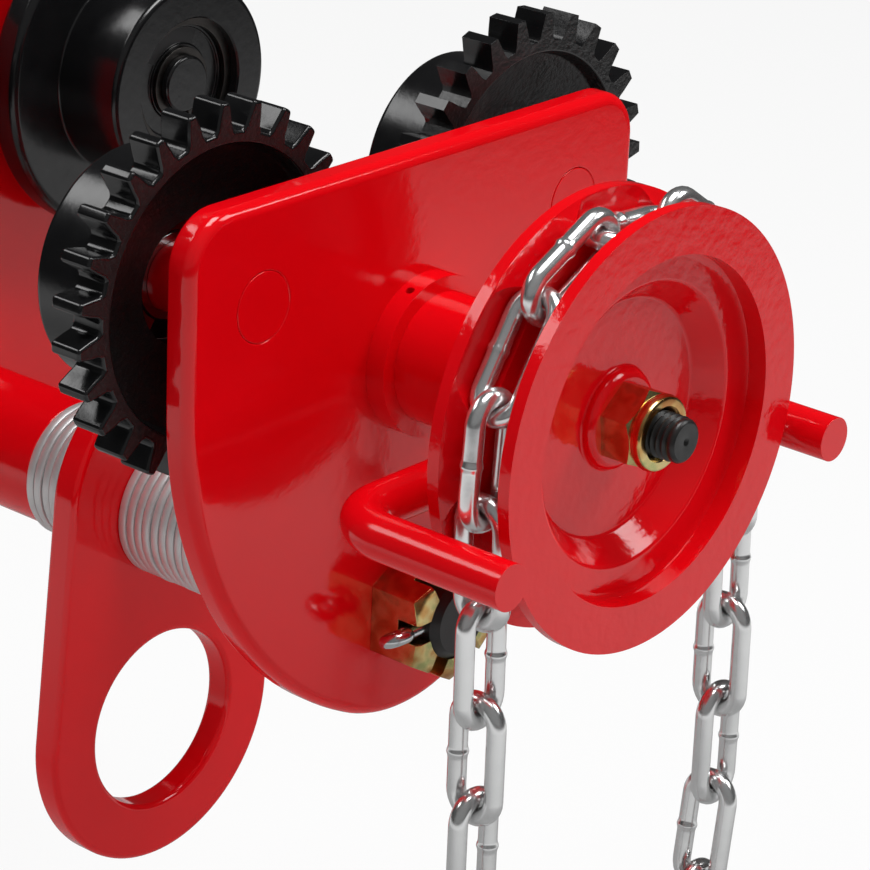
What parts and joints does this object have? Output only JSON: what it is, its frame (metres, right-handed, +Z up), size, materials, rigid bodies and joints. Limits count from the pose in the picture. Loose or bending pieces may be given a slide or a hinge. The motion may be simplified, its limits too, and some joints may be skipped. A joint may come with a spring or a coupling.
{
  "type": "geared beam trolley",
  "caption": "Geared trolley for a beam's lower flange: two side plates, geared and plain wheels, a hand chain wheel with its chain, and a suspension plate with an eye.",
  "frame": {"origin": "middle of the beam track: half way between the side plates and between the wheels, in the plane of the treads, which is the upper surface of the beam's lower flange", "axes": "+X along the beam, +Y across it away from the hand chain wheel, +Z up"},
  "size_m": [0.219, 0.2948, 0.2977],
  "materials": {
    "red_paint": "gloss red powder coat",
    "guide_paint": "gloss red paint over bent bar",
    "black_paint": "gloss black paint, cast surface in the hollows",
    "bronze": "turned bronze",
    "black_oxide": "black oxide on turned steel",
    "key_steel": "ground steel",
    "bearing_steel": "ground steel rings, dark seals",
    "yellow_zinc": "yellow passivated zinc plating",
    "bright_zinc": "bright zinc plating",
    "chain_zinc": "polished zinc plating"
  },
  "bodies": {
    "frame": {"near_side_plate": "red_paint", "far_side_plate": "red_paint", "drive_tube_collar": "red_paint", "drive_tube": "red_paint", "shaft_bushes": "bronze", "chain_guide": "guide_paint", "wheel_axles": "red_paint", "wheel_bearings": "bearing_steel", "axle_snap_rings": "black_oxide", "load_shaft": "black_oxide", "castle_nuts": "yellow_zinc", "cotter_pins": "bright_zinc", "near_washer_stack": "bright_zinc", "far_washer_stack": "bright_zinc", "near_spacer_tube": "red_paint", "far_spacer_tube": "red_paint", "hand_chain_on_wheel": "chain_zinc", "hand_chain_left_strand": "chain_zinc", "hand_chain_right_strand": "chain_zinc", "hand_chain_loop": "chain_zinc"},
    "drive": {"drive_shaft": "black_oxide", "drive_pinion": "black_oxide", "pinion_key": "key_steel", "pinion_snap_ring": "black_oxide", "hand_chain_wheel": "red_paint", "drive_lock_nut": "yellow_zinc"},
    "geared_left": {"geared_wheel_left": "black_paint", "bore_ring_geared_left": "black_oxide"},
    "geared_right": {"geared_wheel_right": "black_paint", "bore_ring_geared_right": "black_oxide"},
    "plain_left": {"plain_wheel_left": "black_paint", "bore_ring_plain_left": "black_oxide"},
    "plain_right": {"plain_wheel_right": "black_paint", "bore_ring_plain_right": "black_oxide"},
    "suspension": {"suspension_plate": "red_paint"}
  },
  "joints": [
    {"name": "geared_left_spin", "type": "hinge", "parent": "frame", "child": "geared_left", "pos_m": [-0.0605, 0, 0.031], "axis": [0, 1, 0], "continuous": true},
    {"name": "geared_right_spin", "type": "hinge", "parent": "frame", "child": "geared_right", "pos_m": [0.0605, 0, 0.031], "axis": [0, 1, 0], "continuous": true},
    {"name": "drive_spin", "type": "hinge", "parent": "frame", "child": "drive", "pos_m": [0, 0, 0.00388], "axis": [0, 1, 0], "continuous": true, "deforming": ["hand_chain_on_wheel"]},
    {"name": "plain_left_spin", "type": "hinge", "parent": "frame", "child": "plain_left", "pos_m": [-0.0605, 0, 0.031], "axis": [0, 1, 0], "continuous": true},
    {"name": "plain_right_spin", "type": "hinge", "parent": "frame", "child": "plain_right", "pos_m": [0.0605, 0, 0.031], "axis": [0, 1, 0], "continuous": true},
    {"name": "suspension_swing", "type": "hinge", "parent": "frame", "child": "suspension", "pos_m": [0, 0, -0.0674], "axis": [0, 1, 0], "range_deg": [-75, 75]}
  ],
  "couplings": [
    {"joint": "geared_right_spin", "follows": "geared_left_spin", "ratio": 1},
    {"joint": "drive_spin", "follows": "geared_left_spin", "ratio": -2}
  ]
}
